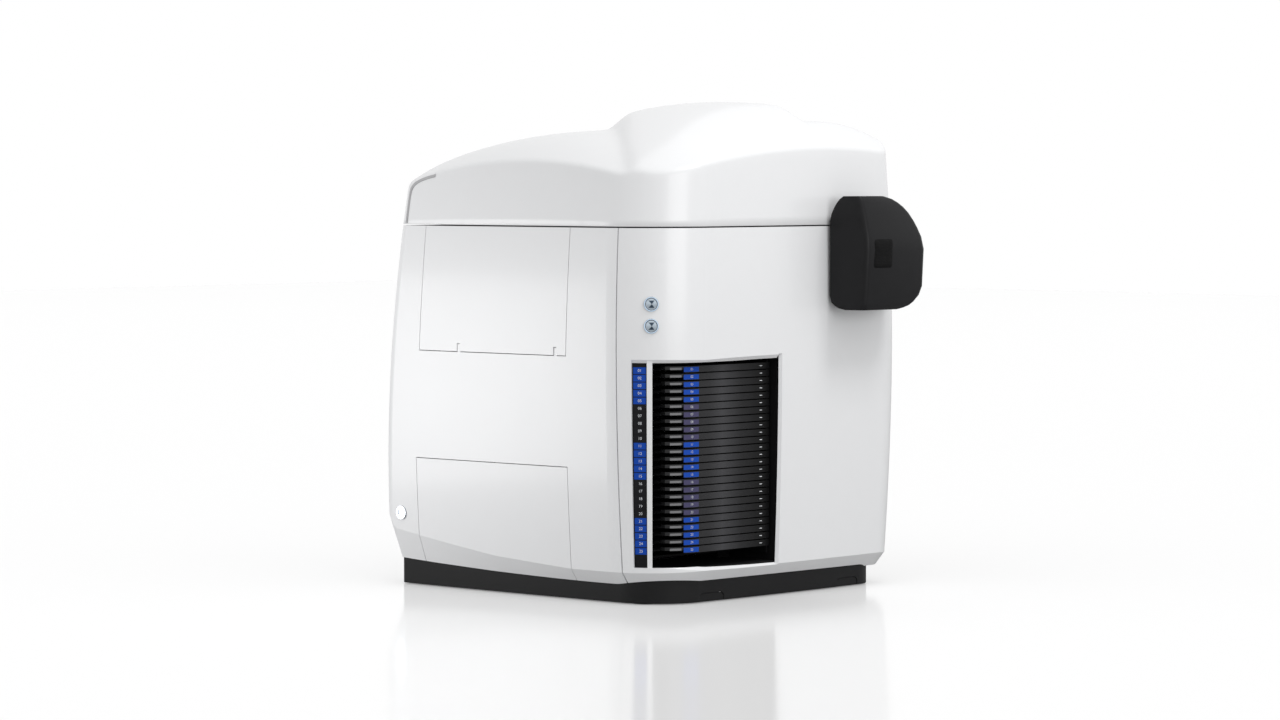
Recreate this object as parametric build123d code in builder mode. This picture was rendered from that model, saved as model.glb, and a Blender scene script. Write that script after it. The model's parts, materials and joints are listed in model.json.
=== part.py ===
# Digital slide scanner: white moulded housing on a black plinth, a magazine of 25 slide trays behind a
# window that wraps the rounded front-left corner, a domed hood hinged at the rear, a black lamp housing
# on the front, and inside it a chassis with tray lift, gripper, XY stage, focus slide, turret and camera.
# Frame: +Z up, front towards -Y, origin on the floor under the middle of the whole outline. Millimetres.
from math import cos, radians, sin, sqrt
import os

from build123d import *

# ---- housing ----
half_width = 262.0
body_depth = 526.0
lamp_stand = 71.0                     # how far the lamp housing stands out of the front wall
front = (lamp_stand - body_depth) / 2
rear = (lamp_stand + body_depth) / 2
wall = 4.0
corner_left = 95.0                    # large rounded front-left corner
corner_right = 50.0
corner_rear = 18.0
front_bow = 6.0                       # the walls bow outwards between their corners
side_bow = 4.0
waist = 353.0                         # height at which the walls stand out furthest
seam_height = 501.0                   # hood meets the panels
seam = 1.8
foot_lean = 11.0                      # walls lean in towards the bottom and towards the top
head_lean = 4.0
front_lean_share = 0.35               # the front wall leans less than the sides
rear_lean = 32.0                      # the rear wall leans forward towards the top
rear_foot = 130.0
crown = 690.0                         # top of the blank from which the hood is cut

# ---- plinth and skirt ----
ground_gap = 1.5
plinth_wall = 3.0
plinth_left = 23.0                    # inset of the plinth from the walls
plinth_right = 39.0
plinth_front = 14.0
plinth_rear = 12.0
plinth_corner = 75.0
plinth_corner_right = 50.0
plinth_lap = 6.0
skirt_inset = 13.0
skirt_low = 26.0                      # lower edge of the skirt at the front
skirt_crease = 45.0
skirt_low_rise = 12.0                 # rise of both lines towards the rear
skirt_crease_rise = 37.0
skirt_flange = 3.0
fit_gap = 0.3


def lean(z):
    """Inset of front and side walls at height z."""
    if z < waist:
        return foot_lean * ((waist - z) / (waist - skirt_crease)) ** 2
    return head_lean * ((z - waist) / (seam_height - waist)) ** 2


def rear_wall(z):
    """Y of the rear wall at height z."""
    return rear - rear_lean * (max(z - rear_foot, 0) / (seam_height - rear_foot)) ** 1.5


def rounded_plan(z, left, right, near, far, bows, radii):
    """Plan outline with bowed front and sides and four round corners."""
    bow_front, bow_side = bows
    with BuildSketch(Plane.XY.offset(z)) as plan:
        with BuildLine():
            a = (left + bow_side, near + bow_front)
            b = (right - bow_side, near + bow_front)
            c = (right - bow_side, far)
            d = (left + bow_side, far)
            ThreePointArc(a, ((left + right) / 2, near), b)
            ThreePointArc(b, (right, (near + far) / 2), c)
            Line(c, d)
            ThreePointArc(d, (left, (near + far) / 2), a)
        make_face()
        for corner, radius in zip((a, b, c, d), radii):
            fillet(plan.vertices().sort_by_distance(corner)[0], radius)
    return plan.sketch


def housing_plan(z, inset=0.0, at_height=None):
    """Plan outline of the housing at height z, moved inwards by inset."""
    level = z if at_height is None else at_height
    s = lean(level) + inset
    radii = [max(r - inset, 2) for r in (corner_left, corner_right, corner_rear, corner_rear)]
    near = front + front_lean_share * lean(level) + inset
    far = rear_wall(level) - inset
    return rounded_plan(z, s - half_width, half_width - s, near, far, (front_bow, side_bow), radii)


def envelope(inset):
    """Solid of the housing moved inwards by inset, without its skirt and roof."""
    levels = (0.0, rear_foot, waist, seam_height, crown)
    with BuildPart() as blank:
        loft(sections=[housing_plan(z, inset) for z in levels])
    return blank.part


def skirt_line(y, low, rise):
    """Height of a line of the skirt: level along the front, rising towards the rear."""
    run = max(y - (front + corner_left), 0) / (rear - front - corner_left)
    return low + rise * run ** 2


def skirt_cone(run, inset):
    """Flaring solid whose wall touches both lines of the skirt at this share of its run."""
    height = skirt_crease + skirt_crease_rise / 2
    start = front + corner_left
    length = rear - start
    y = start + run * length
    low = skirt_low + skirt_low_rise * run ** 2
    crease = skirt_crease + skirt_crease_rise * run ** 2
    low_slope = 2 * skirt_low_rise * run / length
    crease_slope = 2 * skirt_crease_rise * run / length
    rings = []
    for step in (skirt_inset * 1.7, -skirt_inset * 1.4):
        share = 1 - step / skirt_inset
        z = low + (crease - low) * share
        slope = low_slope + (crease_slope - low_slope) * share
        flat = housing_plan(0, inset + step, height)
        rings.append(Plane(origin=(0, 0, z - slope * y), x_dir=(1, 0, 0), z_dir=(0, -slope, 1)) * flat)
    with BuildPart() as cone:
        loft(sections=rings, ruled=True)
        extrude(to_extrude=rings[1].faces()[0], amount=crown + 50, dir=(0, 0, 1))
    return cone.part


def under_line(low, rise):
    """Everything below a line of the skirt, all across the housing."""
    side = Plane(origin=(-half_width - 50, 0, 0), x_dir=(0, 1, 0), z_dir=(1, 0, 0))
    start = front + corner_left
    end = rear + 50
    steps = [start + (end - start) * k / 4 for k in range(5)]
    with BuildPart() as space:
        with BuildSketch(side):
            with BuildLine():
                Line((front - 50, low), (start, low))
                Spline([(y, skirt_line(y, low, rise)) for y in steps])
                last = (end, skirt_line(end, low, rise))
                Polyline(last, (end, -50), (front - 50, -50), (front - 50, low))
            make_face()
        extrude(amount=2 * half_width + 100)
    return space.part


# ---- hood roof ----
roof_rise = 52.0                      # rise of the arched roof from wall to middle
roof_power = 3.2
left_crest = 582.0                    # top edge of the left wall, highest a little behind the middle
left_crest_y = 26.5
left_fall = 0.0008
right_crest = 600.0                   # top edge of the right wall, highest at the front
right_crest_y = -193.5
right_fall = 0.00028
brow_height = 600.0                   # top edge of the front wall
brow_x = 76.0
brow_fall = 0.00042
brow_slope = 0.66
dome_top = 672.0
dome_x = 76.0
dome_y = -23.5
dome_fall_x = 0.0008
dome_fall_front = 0.0005
dome_fall_rear = 0.0009
dome_right = 109.0                    # X at which the right flank of the dome runs out
flank_slope = 0.9
valley_x = -251.0                     # the valley left of the dome starts at the front-left corner
valley_y = -143.5
valley_angle = 42.4
rear_edge = 556.0
rear_slope = 2.5


def smooth_min(a, b, blend):
    """The lower of two heights, with a rounded change over."""
    return (a + b - sqrt((a - b) ** 2 + blend ** 2)) / 2


def roof(x, y):
    """Height of the hood over a point of the plan."""
    share = min(max((x + 150) / 300, 0), 1)
    share = share * share * (3 - 2 * share)
    left_edge = left_crest - left_fall * (y - left_crest_y) ** 2
    right_edge = right_crest - right_fall * (y - right_crest_y) ** 2
    arch = roof_rise * (1 - min(abs(x) / half_width, 1.1) ** roof_power)
    shoulder = left_edge * (1 - share) + right_edge * share + arch

    fall_y = dome_fall_front if y < dome_y else dome_fall_rear
    dome = dome_top - dome_fall_x * (x - dome_x) ** 2 - fall_y * (y - dome_y) ** 2
    across = (x - valley_x) * cos(radians(valley_angle)) - (y - valley_y) * sin(radians(valley_angle))
    left_flank = flank_slope * across
    right_flank = flank_slope * (dome_right - x)
    stand = smooth_min(dome - shoulder, smooth_min(left_flank, right_flank, 8), 6)
    top = shoulder + max(-smooth_min(-stand, 0, 5), 0)

    wall_y = front + 0.0045 * max(-x - 154, 0) ** 2
    brow = brow_height - brow_fall * (x - brow_x) ** 2 + brow_slope * (y - wall_y)
    top = smooth_min(top, brow, 5)
    return smooth_min(top, rear_edge + rear_slope * (rear_wall(rear_edge) - y), 14)


def over_roof(count):
    """Space over the roof surface, worked out on count by count points."""
    reach_x = half_width + 12
    ys = [front - 12 + (body_depth + 24) * k / (count - 1) for k in range(count)]
    xs = [-reach_x + 2 * reach_x * k / (count - 1) for k in range(count)]
    rows = [[Vector(x, y, roof(x, y)) for y in ys] for x in xs]
    surface = Face.make_surface_from_array_of_points(rows, tol=0.3)
    return Solid.extrude(surface, Vector(0, 0, 200))


# ---- panels ----
shell_outer = envelope(0)
shell_inner = envelope(wall)
for run in (0.65, 0.35, 0):
    shell_outer = shell_outer & skirt_cone(run, 0)
    shell_inner = shell_inner & skirt_cone(run, wall)

cut_front_y = front + 79.0            # seam between the front cover and the side panels
cut_rear_x = half_width - 34.0        # seam between the side panels and the rear panel
above = crown + 50


def plinth_plan(z, inset):
    """Plan outline of the plinth moved inwards by inset."""
    left = plinth_left - half_width + inset
    right = half_width - plinth_right - inset
    near = front + plinth_front + inset
    far = rear - plinth_rear - inset
    radii = [max(r - inset, 2) for r in (plinth_corner, plinth_corner_right, corner_rear, corner_rear)]
    return rounded_plan(z, left, right, near, far, (front_bow, side_bow), radii)


with BuildPart() as body_shell:
    add(shell_outer)
    add(under_line(skirt_low, skirt_low_rise), mode=Mode.SUBTRACT)
    hollow = shell_inner - under_line(skirt_low + skirt_flange, skirt_low_rise)
    add(hollow, mode=Mode.SUBTRACT)
    with BuildSketch(Plane.XY) as plinth_hole:
        add(plinth_plan(0, -fit_gap))
    extrude(amount=skirt_crease + skirt_crease_rise, mode=Mode.SUBTRACT)
    with BuildSketch(Plane.XY.offset(seam_height - seam / 2)):
        Rectangle(3 * half_width, 3 * body_depth)
    extrude(amount=above, mode=Mode.SUBTRACT)


def box_between(low, high):
    """Box from its lowest to its highest corner."""
    size = [b - a for a, b in zip(low, high)]
    middle = Vector(*((a + b) / 2 for a, b in zip(low, high)))
    with BuildPart() as block:
        with Locations(middle):
            Box(*size)
    return block.part


front_half = box_between((-300, front - 50, 0), (300, cut_front_y - seam / 2, above))
rear_middle = box_between((seam / 2 - cut_rear_x, rear - 60, 0), (cut_rear_x - seam / 2, rear + 50, above))
rear_keep = box_between((-cut_rear_x - seam / 2, rear - 60, 0), (cut_rear_x + seam / 2, rear + 50, above))
left_half = box_between((-300, cut_front_y + seam / 2, 0), (0, rear + 50, above))
right_half = box_between((0, cut_front_y + seam / 2, 0), (300, rear + 50, above))


# ---- front cover: window round the left corner, button holes, hole for the lamp's collar ----
corner_x = corner_left + 4 - half_width
corner_y = front + corner_left + 4
window_low = 50.0
window_high = 322.0
window_right = -19.0
window_start = 24.6                   # angles round the corner, from the left wall towards the front
mullion_start = 36.9
mullion_end = 41.3
bevel_in = 5.0
bevel_out = 7.0
button_angle = 40.6
button_heights = (400.0, 371.0)
button_radius = 8.0
bezel_radius = 9.5
button_seat = 1.3                     # the wall lies this much nearer to the corner's axis there
lamp_x = 151.0                        # middle of the lamp housing
lamp_z = 463.0
collar_radius = 24.0
collar_z = 440.0


def surface_reach(z):
    """Distance of the outer surface from the corner's axis at height z."""
    return corner_left + 4 - 0.6 * lean(z)


def wedge(start, end, low, high, reach=160.0):
    """Prism between two directions round the corner's axis."""
    with BuildPart() as prism:
        with BuildSketch(Plane.XY.offset(low)):
            with BuildLine():
                points = [(corner_x, corner_y)]
                for angle in (start, (start + end) / 2, end):
                    a = radians(angle)
                    points.append((corner_x - reach * cos(a), corner_y - reach * sin(a)))
                Polyline(*points, close=True)
            make_face()
        extrude(amount=high - low)
    return prism.part


def window_profile(plane):
    """Section of the window with its bevelled edges, as distance from the corner's axis and height."""
    with BuildSketch(plane) as section:
        with BuildLine():
            Polyline(
                (60, window_low),
                (surface_reach(window_low) - bevel_in, window_low),
                (surface_reach(window_low) + 1, window_low - bevel_out),
                (150, window_low - bevel_out),
                (150, window_high + bevel_out),
                (surface_reach(window_high) + 1, window_high + bevel_out),
                (surface_reach(window_high) - bevel_in, window_high),
                (60, window_high),
                close=True,
            )
        make_face()
    return section.sketch


corner_axis = Axis((corner_x, corner_y, 0), (0, 0, 1))
start_rad = radians(window_start)
start_plane = Plane(
    origin=(corner_x, corner_y, 0),
    x_dir=(-cos(start_rad), -sin(start_rad), 0),
    z_dir=(-sin(start_rad), cos(start_rad), 0),
)
straight_plane = Plane(origin=(corner_x, corner_y, 0), x_dir=(0, -1, 0), z_dir=(-1, 0, 0))

with BuildPart() as window_space:
    revolve(window_profile(start_plane), axis=corner_axis, revolution_arc=90 - window_start)
    extrude(window_profile(straight_plane), amount=corner_x - window_right)
    with BuildSketch(Plane.XY.offset(window_low - bevel_out)):
        with BuildLine():
            edge_y = front + bevel_in + 3
            Polyline((window_right - 1, edge_y), (window_right, edge_y), (window_right + bevel_out, front - 1),
                     (window_right + bevel_out, front - 50), (window_right - 1, front - 50), close=True)
        make_face()
    extrude(amount=window_high - window_low + 2 * bevel_out)


def button_plane(z, offset=0.0):
    """Plane of a push button on the rounded corner, facing outwards."""
    a = radians(button_angle)
    out = Vector(-cos(a), -sin(a), 0)
    reach = surface_reach(z) - button_seat + offset
    return Plane(origin=Vector(corner_x, corner_y, z) + out * reach, z_dir=out)


with BuildPart() as front_cover:
    add(body_shell.part & front_half)
    add(window_space.part, mode=Mode.SUBTRACT)
    mullion = (envelope(1.5) - shell_inner) & wedge(mullion_start, mullion_end, window_low - 3, window_high + 3)
    add(mullion)
    for z in button_heights:
        with BuildSketch(button_plane(z, -10)):
            Circle(button_radius + fit_gap)
        extrude(amount=20, mode=Mode.SUBTRACT)
    with BuildSketch(Plane(origin=(lamp_x, front - 20, collar_z), x_dir=(1, 0, 0), z_dir=(0, -1, 0))):
        Circle(collar_radius + fit_gap)
    extrude(amount=-50, mode=Mode.SUBTRACT)

# ---- side panels, service door and cover on the left ----
door_front_low = front + 167.5        # edges of the upper door; its ends slant a little
door_front_high = front + 155.5
door_rear_low = front + 448.0
door_rear_high = front + 424.0
door_low = 328.0
door_gap = 2.0
cover_front = front + 168.0
cover_rear = front + 458.0
cover_high = 180.0
switch_y = front + 491.0
switch_z = 101.0
switch_radius = 9.5
switch_cap = 5.3
hinge_ys = (front + 188.0, front + 370.0)
hinge_width = 6.0
pin_radius = 1.2
left_side = Plane(origin=(-half_width - 30, 0, 0), x_dir=(0, 1, 0), z_dir=(1, 0, 0))


def door_outline(gap):
    """Prism through the left wall with the upper door's outline, smaller by gap."""
    with BuildPart() as prism:
        with BuildSketch(left_side):
            with BuildLine():
                Polyline((door_front_low + gap, door_low + gap), (door_rear_low - gap, door_low + gap),
                         (door_rear_high - gap, above), (door_front_high + gap, above), close=True)
            make_face()
        extrude(amount=half_width / 2)
    return prism.part


def cover_outline(gap):
    """Prism through the left wall with the lower cover's outline, smaller by gap."""
    with BuildPart() as prism:
        with BuildSketch(left_side):
            with BuildLine():
                Polyline((cover_front + gap, -20), (cover_front + gap, cover_high - gap),
                         (cover_rear - gap, cover_high - gap), (cover_rear - gap, -20), close=True)
            make_face()
        extrude(amount=half_width / 4)
    return prism.part


def wall_x(z):
    """X of the left wall's outer face at height z, near the doors."""
    return lean(z) - half_width + side_bow / 4


door_pin_z = door_low + door_gap / 2 + 8.0
door_pin_x = wall_x(door_pin_z) + 2.4

with BuildPart() as left_panel:
    add((body_shell.part & left_half) - rear_keep)
    add(door_outline(0), mode=Mode.SUBTRACT)
    add(cover_outline(0), mode=Mode.SUBTRACT)
    for y in hinge_ys:
        add(box_between((door_pin_x - 1.8, y - hinge_width / 2 + 0.5, door_low - 6),
                        (door_pin_x + 3, y + hinge_width / 2 - 0.5, door_pin_z + 2)))
        with BuildSketch(Plane(origin=(door_pin_x, y, door_pin_z), z_dir=(0, 1, 0))):
            Circle(pin_radius + 0.05)
        extrude(amount=hinge_width, both=True, mode=Mode.SUBTRACT)
    with BuildSketch(Plane(origin=(wall_x(switch_z) - 10, switch_y, switch_z), z_dir=(1, 0, 0))):
        Circle(switch_radius)
    extrude(amount=30, mode=Mode.SUBTRACT)

with BuildPart() as upper_door:
    add(body_shell.part & door_outline(door_gap / 2) & box_between((-300, -300, 0), (0, 300, seam_height - seam / 2)))
    for y in hinge_ys:
        add(box_between((door_pin_x - 3.5, y - hinge_width / 2, door_low - 5),
                        (door_pin_x + 30, y + hinge_width / 2, door_pin_z + 3)), mode=Mode.SUBTRACT)
        with BuildSketch(Plane(origin=(door_pin_x, y, door_pin_z), z_dir=(0, 1, 0))):
            Circle(pin_radius + 0.05)
        extrude(amount=3 * hinge_width, both=True, mode=Mode.SUBTRACT)

with BuildPart() as lower_cover:
    add(body_shell.part & cover_outline(door_gap / 2))

with BuildPart() as right_panel:
    add((body_shell.part & right_half) - rear_keep)

# ---- rear panel with air grille, inlet and hinge knuckles ----
hinge_radius = 6.0
hinge_pin_radius = 2.5
hinge_y = rear_wall(seam_height) + hinge_radius + 0.5
hinge_xs = (-150.0, 150.0)
knuckle = 20.0
fan_x = -110.0
fan_z = 170.0
fan_radius = 44.0
inlet_x = 130.0
inlet_z = 110.0


def knuckle_block(x, width, z_dir, grow=0.0):
    """Hinge knuckle with a foot that reaches the rear wall above or below the seam."""
    with BuildPart() as block:
        with BuildSketch(Plane(origin=(x - width / 2, hinge_y, seam_height), x_dir=(0, 1, 0), z_dir=(1, 0, 0))):
            Circle(hinge_radius + grow)
            with Locations((-hinge_radius / 2 - 1, z_dir * 9)):
                Rectangle(hinge_radius + 2, 18)
        extrude(amount=width)
    return block.part


rear_plane = Plane(origin=(0, rear + 20, 0), x_dir=(-1, 0, 0), z_dir=(0, 1, 0))

with BuildPart() as rear_panel:
    add(body_shell.part & rear_middle)
    for x in hinge_xs:
        add(knuckle_block(x, knuckle, -1))
    with BuildSketch(Plane(origin=(-half_width, hinge_y, seam_height), x_dir=(0, 1, 0), z_dir=(1, 0, 0))):
        Circle(hinge_pin_radius + 0.05)
    extrude(amount=2 * half_width, mode=Mode.SUBTRACT)
    with BuildSketch(rear_plane):
        with Locations((-fan_x, fan_z)):
            with GridLocations(0, 10, 1, 9):
                Rectangle(78, 5)
        with Locations((-inlet_x, inlet_z)):
            Rectangle(50, 30)
    extrude(amount=-80, mode=Mode.SUBTRACT)

# ---- hood with its arched roof and dome ----
hood_low = seam_height + seam / 2
roof_points = 45
roof_wall = 6.0                       # thickness of the roof, measured upwards
sky = over_roof(roof_points)

with BuildPart() as hood:
    add(envelope(0))
    add(box_between((-300, -300, -50), (300, 400, hood_low)), mode=Mode.SUBTRACT)
    add(sky, mode=Mode.SUBTRACT)
    cavity = envelope(wall) - sky.moved(Location((0, 0, -roof_wall)))
    add(cavity, mode=Mode.SUBTRACT)
    for x in hinge_xs:
        for side in (-1, 1):
            add(knuckle_block(x + side * (knuckle + 0.6) * 0.75, knuckle / 2, 1))
    with BuildSketch(Plane(origin=(-half_width, hinge_y, seam_height), x_dir=(0, 1, 0), z_dir=(1, 0, 0))):
        Circle(hinge_pin_radius + 0.05)
    extrude(amount=2 * half_width, mode=Mode.SUBTRACT)
    for x in hinge_xs:
        with BuildSketch(Plane(origin=(x - knuckle / 2 - 0.3, hinge_y, seam_height), x_dir=(0, 1, 0), z_dir=(1, 0, 0))):
            Circle(hinge_radius + 1)
        extrude(amount=knuckle + 0.6, mode=Mode.SUBTRACT)

with BuildPart() as hinge_pins:
    for x in hinge_xs:
        with BuildSketch(Plane(origin=(x - knuckle, hinge_y, seam_height), x_dir=(0, 1, 0), z_dir=(1, 0, 0))):
            Circle(hinge_pin_radius)
        extrude(amount=2 * knuckle)
    for y in hinge_ys:
        with BuildSketch(Plane(origin=(door_pin_x, y - 8, door_pin_z), z_dir=(0, 1, 0))):
            Circle(pin_radius)
        extrude(amount=16)

# ---- light trim that caps the hood's rear-left corner ----
trim_width = 5.0
trim_height = 548.0
with BuildPart() as hood_trim:
    band = envelope(-1.6) - envelope(-fit_gap)
    trim_y = rear_wall(trim_height) - 12
    add(band & box_between((-300, trim_y - 4, hood_low + 2), (-half_width + 40, trim_y + trim_width, trim_height)))

# ---- plinth, base plate, feet and carry-point caps ----
base_low = 14.0
base_thick = 6.0
foot_radius = 20.0
cap_xs = (-138.0, 145.0)
cap_width = 46.0
cap_height = 12.5

plinth_top = under_line(skirt_low + skirt_flange + plinth_lap, skirt_low_rise)


def cap_arch(x, grow):
    """Arch through the plinth's front wall, open at the floor."""
    with BuildPart() as arch:
        with BuildSketch(Plane(origin=(x, front + 60, 0), x_dir=(1, 0, 0), z_dir=(0, -1, 0))):
            with Locations((0, (cap_height + grow) / 2 - 20)):
                RectangleRounded(cap_width + 2 * grow, cap_height + grow + 40, 7)
        extrude(amount=100)
    return arch.part


with BuildPart() as plinth:
    with BuildSketch(Plane.XY.offset(ground_gap)):
        add(plinth_plan(0, 0))
        add(plinth_plan(0, plinth_wall), mode=Mode.SUBTRACT)
    extrude(amount=skirt_crease + skirt_crease_rise)
    add(plinth_top, mode=Mode.INTERSECT)
    for x in cap_xs:
        add(cap_arch(x, 0.6), mode=Mode.SUBTRACT)

with BuildPart() as carry_caps:
    with BuildSketch(Plane.XY.offset(ground_gap)):
        add(plinth_plan(0, 0.6))
        add(plinth_plan(0, plinth_wall + 4), mode=Mode.SUBTRACT)
    extrude(amount=base_low - ground_gap - 0.3)
    add(cap_arch(cap_xs[0], 0) + cap_arch(cap_xs[1], 0), mode=Mode.INTERSECT)

with BuildPart() as base_plate:
    with BuildSketch(Plane.XY.offset(base_low)):
        add(plinth_plan(0, plinth_wall + fit_gap))
    extrude(amount=base_thick)

foot_spots = [(x, y) for x in (-205.0, 190.0) for y in (front + 75, rear - 55)]
with BuildPart() as rubber_feet:
    for spot in foot_spots:
        with BuildSketch(Plane(origin=(spot[0], spot[1], 0))):
            Circle(foot_radius)
        extrude(amount=base_low, taper=3)

# ---- number strip and magazine liner behind the window ----
strip_thick = 2.0
with BuildPart() as number_strip:
    add(envelope(wall + fit_gap) - envelope(wall + fit_gap + strip_thick))
    add(wedge(window_start - 3, mullion_start + 1.5, window_low - 4, window_high + 4), mode=Mode.INTERSECT)

# ---- slide trays and their magazine ----
tray_count = 25
tray_pitch = 10.0
tray_top = 310.0
tray_left = -213.0
tray_right = window_right - 1.0
tray_corner = surface_reach(waist) - 17.0
tray_front = corner_y - tray_corner
tray_rear = tray_front + 113.0
tray_thick = 4.0
lip_height = 8.4
lip_drop = 1.6
lip_thick = 3.5
slide_pitch = 46.0
slide_width = 26.4
slide_length = 76.4
slide_window = (22.0, 62.0)
rail_gap = 0.4
rail_wall = 3.0
rail_reach = 4.0
rail_thick = 2.0
rail_front = corner_y - 20.0


def tray_plan(inset):
    """Plan of a slide tray: its front follows the rounded corner of the housing."""
    angles = [radians(53.0 + 37.0 * k / 5) for k in range(6)]
    r = tray_corner - inset
    left = corner_x - r * cos(angles[0])
    with BuildSketch(Plane.XY) as plan:
        with BuildLine():
            front_edge = [(corner_x - r * cos(a), corner_y - r * sin(a)) for a in angles]
            Polyline((left, tray_rear - inset), *front_edge, (tray_right, corner_y - r),
                     (tray_right, tray_rear - inset), close=True)
        make_face()
    return plan.sketch


slide_middle = ((tray_left + tray_right) / 2, tray_rear - 8 - slide_length / 2)


def slide_tray():
    """One tray whose plate has its underside at height 0."""
    z = 0
    with BuildPart() as tray:
        with BuildSketch(Plane.XY.offset(z)):
            add(tray_plan(0))
        extrude(amount=tray_thick)
        with BuildSketch(Plane.XY.offset(z - lip_drop)):
            add(tray_plan(0))
            add(tray_plan(lip_thick), mode=Mode.SUBTRACT)
            with Locations((0, tray_front + 120 + 24)):
                Rectangle(900, 240, mode=Mode.SUBTRACT)
        extrude(amount=lip_height)
        with BuildSketch(Plane.XY.offset(z + tray_thick)):
            with Locations(slide_middle):
                with GridLocations(slide_pitch, 1, 4, 1):
                    Rectangle(slide_width, slide_length)
        extrude(amount=-1.2, mode=Mode.SUBTRACT)
        with BuildSketch(Plane.XY.offset(z)):
            with Locations(slide_middle):
                with GridLocations(slide_pitch, 1, 4, 1):
                    Rectangle(*slide_window)
        extrude(amount=tray_thick, mode=Mode.SUBTRACT)
        with BuildSketch(Plane.XY.offset(z - lip_drop - 1)):
            with Locations((tray_left, tray_front + 10)):
                Rectangle(52, 60)
        extrude(amount=lip_drop + 1 + tray_thick * 0.6, mode=Mode.SUBTRACT)
    return tray.part

# liner: black lining of the magazine bay, open towards the window and towards the tray lift
liner_wall = 2.0
liner_rear = tray_rear + 6
jamb_x = tray_right + rail_gap + rail_wall + 0.6
liner_floor = window_low - 2
with BuildPart() as magazine_liner:
    bay = box_between((-300, front - 20, window_low - 4), (jamb_x + liner_wall, liner_rear, window_high + 4))
    hollow_bay = box_between((-300, front - 20, window_low - 2), (jamb_x, liner_rear + 5, window_high + 2))
    backing = wall + fit_gap + strip_thick + 0.3
    add(envelope(backing) & bay)
    add(envelope(backing + liner_wall) & hollow_bay, mode=Mode.SUBTRACT)
    add(wedge(mullion_start - 1, 90, window_low - 2, window_high + 2), mode=Mode.SUBTRACT)
    add(box_between((corner_x - 0.1, front - 20, window_low - 2), (jamb_x, corner_y, window_high + 2)),
        mode=Mode.SUBTRACT)
    for x in (tray_left + 12, tray_right - 12):
        add(box_between((x - 10, tray_rear - 40, base_low + base_thick), (x + 10, tray_rear, liner_floor - 1)))

tray_levels = [tray_top - tray_pitch * k for k in range(tray_count)]
with BuildPart() as magazine_rack:
    bottom = tray_levels[-1] - 12
    height = tray_levels[0] + 11 - bottom
    rail_depth = tray_rear - rail_front
    left_wall_x = tray_left - rail_gap - rail_wall / 2
    right_wall_x = tray_right + rail_gap + rail_wall / 2
    with BuildSketch(Plane.XY.offset(bottom)):
        with Locations((left_wall_x, (rail_front + tray_rear) / 2)):
            Rectangle(rail_wall, rail_depth)
        with Locations((right_wall_x, (tray_front + 6 + tray_rear) / 2)):
            Rectangle(rail_wall, tray_rear - tray_front - 6)
    extrude(amount=height)
    for z in (bottom, bottom + height - 3):
        with BuildSketch(Plane.XY.offset(z)):
            with Locations(((left_wall_x + right_wall_x) / 2, (rail_front + tray_rear) / 2)):
                Rectangle(right_wall_x - left_wall_x, rail_depth)
        extrude(amount=3)
    for z in tray_levels:
        with BuildSketch(Plane.XY.offset(z - fit_gap - rail_thick)):
            with Locations((tray_left - rail_gap + rail_reach / 2, (rail_front + 12 + tray_rear) / 2)):
                Rectangle(rail_reach, rail_depth - 12)
            with Locations((tray_right + rail_gap - rail_reach / 2, (tray_front + 10 + tray_rear) / 2)):
                Rectangle(rail_reach, tray_rear - tray_front - 10)
        extrude(amount=rail_thick)
    with BuildSketch(Plane.XY.offset(liner_floor + fit_gap)):
        for x in (left_wall_x + 12, right_wall_x - 12):
            with Locations((x, tray_rear - 20)):
                Rectangle(24, 40)
    extrude(amount=bottom - liner_floor - fit_gap)



# ---- push buttons ----
def push_button(z):
    """Metal button cap with its stem."""
    with BuildPart() as button:
        with BuildSketch(button_plane(z, -6)):
            Circle(button_radius)
        extrude(amount=7.2)
        chamfer(button.faces().sort_by_distance(button_plane(z, 50).origin)[0].edges(), 0.6)
        with BuildSketch(button_plane(z, -6)):
            Circle(button_radius / 2)
        extrude(amount=-14)
    return button.part


with BuildPart() as button_bezels:
    for z in button_heights:
        with BuildSketch(button_plane(z, 0.3)):
            Circle(bezel_radius + 0.5)
            Circle(button_radius + fit_gap, mode=Mode.SUBTRACT)
        extrude(amount=1.0)
        with BuildSketch(button_plane(z, -wall - 18)):
            Circle(bezel_radius + 1.5)
            Circle(button_radius / 2 + 0.05, mode=Mode.SUBTRACT)
        extrude(amount=6)
        with BuildSketch(button_plane(z, -wall - 12)):
            Circle(bezel_radius + 1.5)
            Circle(bezel_radius, mode=Mode.SUBTRACT)
        extrude(amount=10.3)
    with BuildSketch(Plane(origin=(wall_x(switch_z) - 0.2, switch_y, switch_z), z_dir=(1, 0, 0))):
        Circle(switch_radius - fit_gap)
        Circle(switch_cap + 0.1, mode=Mode.SUBTRACT)
    extrude(amount=9)

with BuildPart() as start_button:
    add(push_button(button_heights[0]))

with BuildPart() as open_button:
    add(push_button(button_heights[1]))

with BuildPart() as power_switch:
    with BuildSketch(Plane(origin=(wall_x(switch_z) + 0.8, switch_y, switch_z), z_dir=(1, 0, 0))):
        Circle(switch_cap)
    extrude(amount=14)

# ---- lamp housing on the front, with a grille and a collar through the front cover ----
lamp_left = 82.0
lamp_right = 219.0
lamp_low = 386.0
lamp_high = 541.0
lamp_back = front - 2.0
lamp_front = front - lamp_stand

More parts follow.
